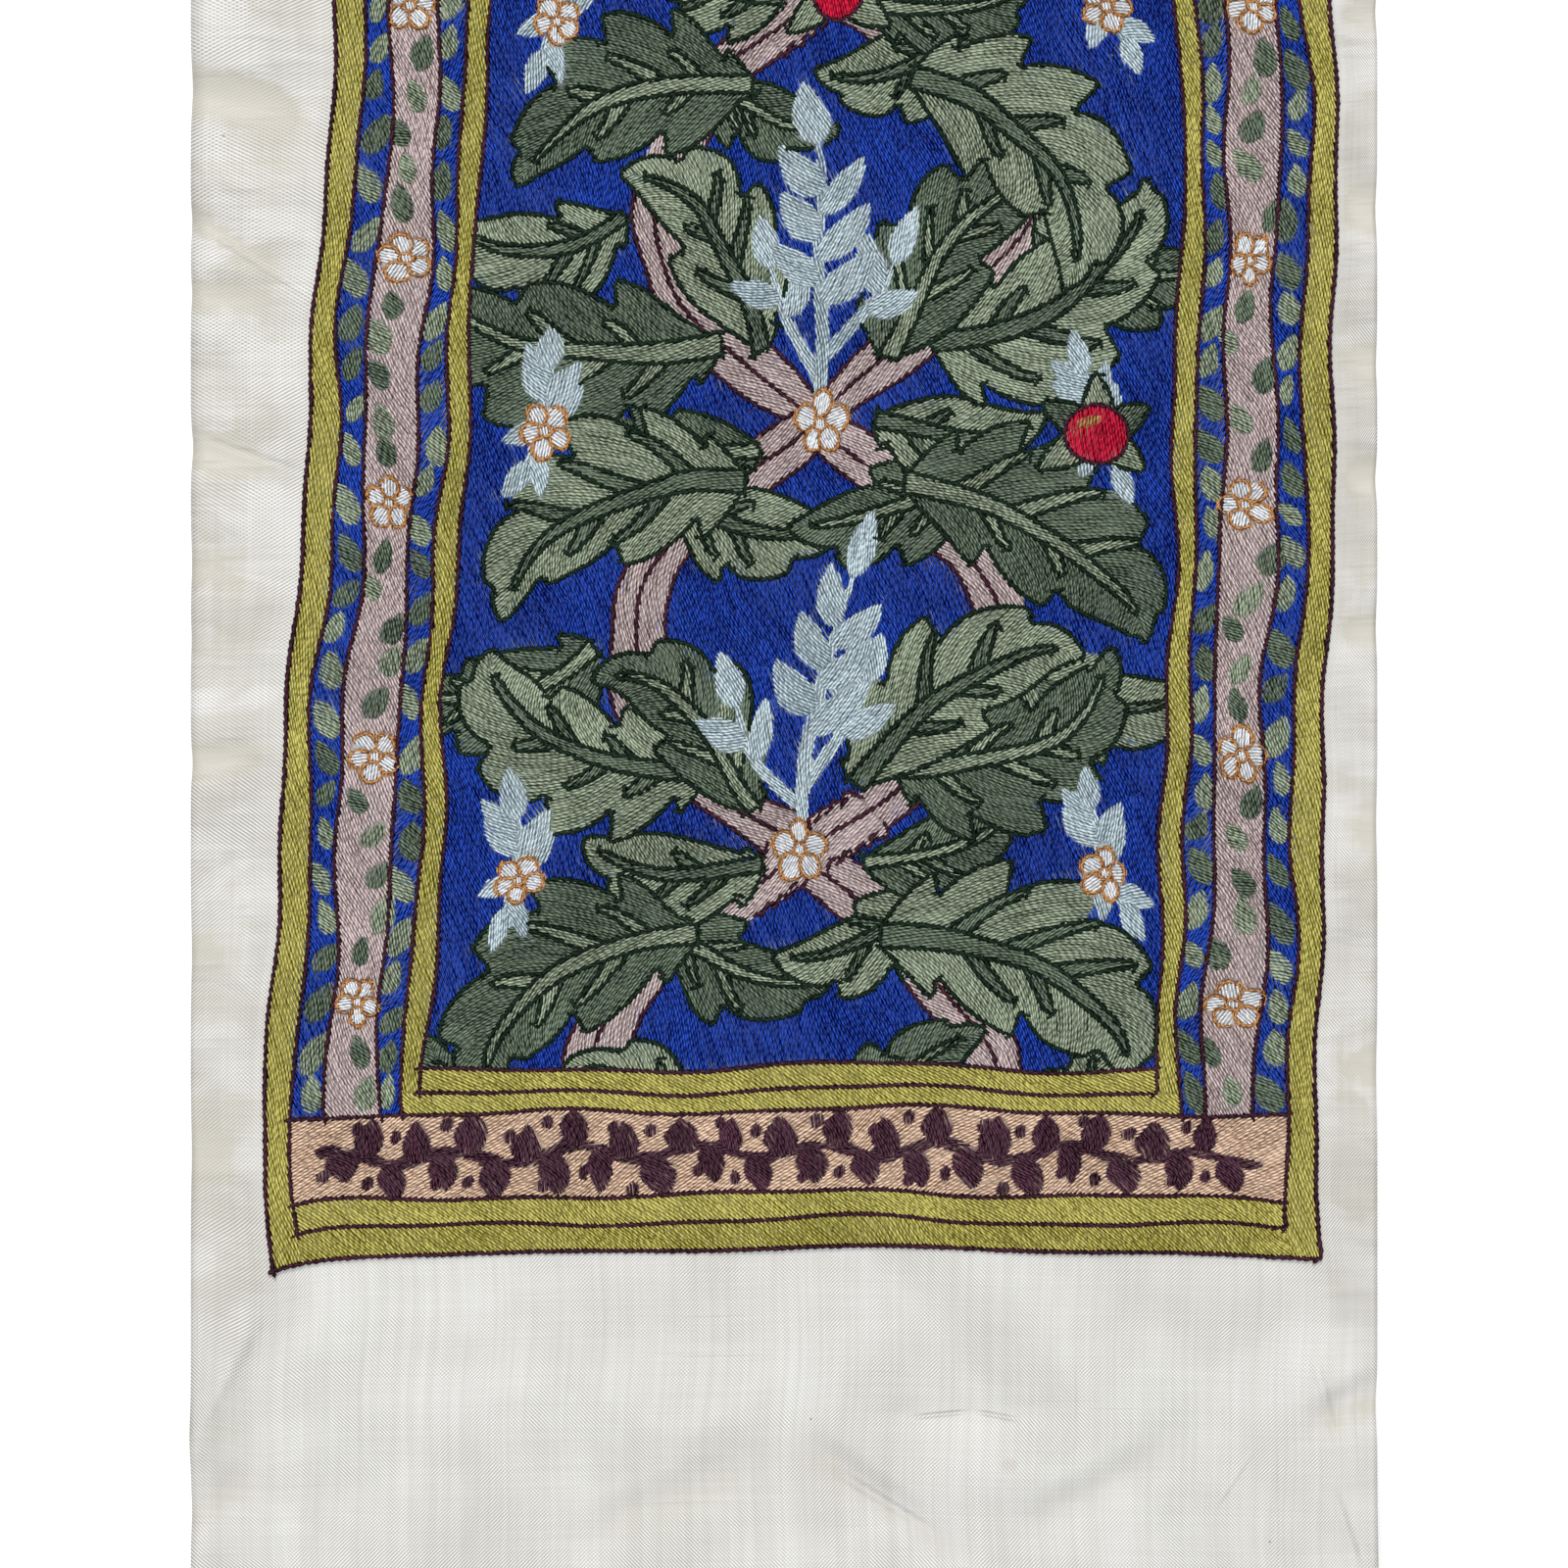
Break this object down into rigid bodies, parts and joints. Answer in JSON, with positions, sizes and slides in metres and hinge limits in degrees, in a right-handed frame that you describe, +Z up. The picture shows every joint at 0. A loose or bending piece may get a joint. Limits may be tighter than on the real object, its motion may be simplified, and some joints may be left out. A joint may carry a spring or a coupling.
{
  "type": "embroidered tapestry",
  "caption": "Flat length of ivory silk with a tall panel densely filled with coloured thread, framed by banded borders and a ribbon across its foot, lying face up.",
  "frame": {"origin": "on the surface the cloth lies on, under the middle of its bounding box", "axes": "+X across the cloth to the design's right, +Y along the cloth towards the design's top, +Z up out of the stitched face"},
  "size_m": [0.254, 0.61, 0.0046],
  "materials": {
    "ivory_silk": "plain-woven silk, soft sheen",
    "blue_thread": "stranded embroidery thread, soft sheen",
    "olive_thread": "stranded embroidery thread, soft sheen",
    "light_sage_thread": "stranded embroidery thread, soft sheen",
    "dark_sage_thread": "stranded embroidery thread, soft sheen",
    "deep_green_thread": "stranded embroidery thread, soft sheen",
    "mauve_thread": "stranded embroidery thread, soft sheen",
    "pale_blue_thread": "stranded embroidery thread, soft sheen",
    "peach_thread": "stranded embroidery thread, soft sheen",
    "plum_thread": "stranded embroidery thread, soft sheen",
    "white_thread": "stranded embroidery thread, soft sheen",
    "orange_thread": "stranded embroidery thread, soft sheen",
    "red_thread": "stranded embroidery thread, soft sheen"
  },
  "bodies": {
    "root": {"embroidered_cloth": "ivory_silk"}
  },
  "joints": []
}
